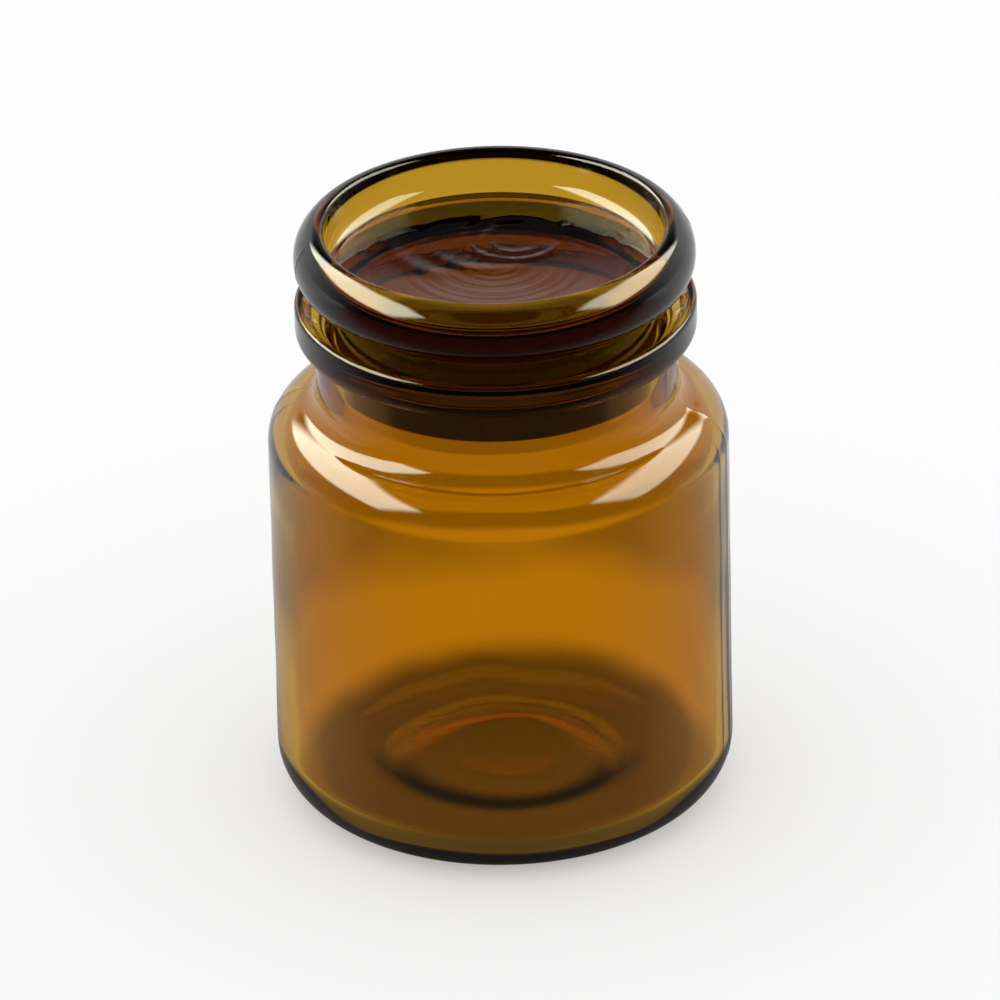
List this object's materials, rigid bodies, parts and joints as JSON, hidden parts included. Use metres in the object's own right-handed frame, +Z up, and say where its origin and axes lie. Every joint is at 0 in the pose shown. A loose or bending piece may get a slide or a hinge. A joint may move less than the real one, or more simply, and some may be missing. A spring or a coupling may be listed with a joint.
{
  "type": "reagent bottle",
  "caption": "Squat wide-mouth amber glass reagent bottle with a rounded shoulder, short neck and collared lip, closed by a lift-out dished glass stopper on a solid tapered plug.",
  "frame": {"origin": "on the table, under the middle of the base", "axes": "+Z up the axis of the bottle and its stopper; the piece is turned, so +X and +Y are free"},
  "size_m": [0.06, 0.06, 0.0804],
  "materials": {
    "amber_glass": "fire-polished gloss"
  },
  "bodies": {
    "bottle": {"bottle": "amber_glass"},
    "stopper": {"stopper": "amber_glass"}
  },
  "joints": [
    {"name": "stopper_lift", "type": "slide", "parent": "bottle", "child": "stopper", "axis": [0, 0, 1], "range_m": [0, 0.03]}
  ]
}
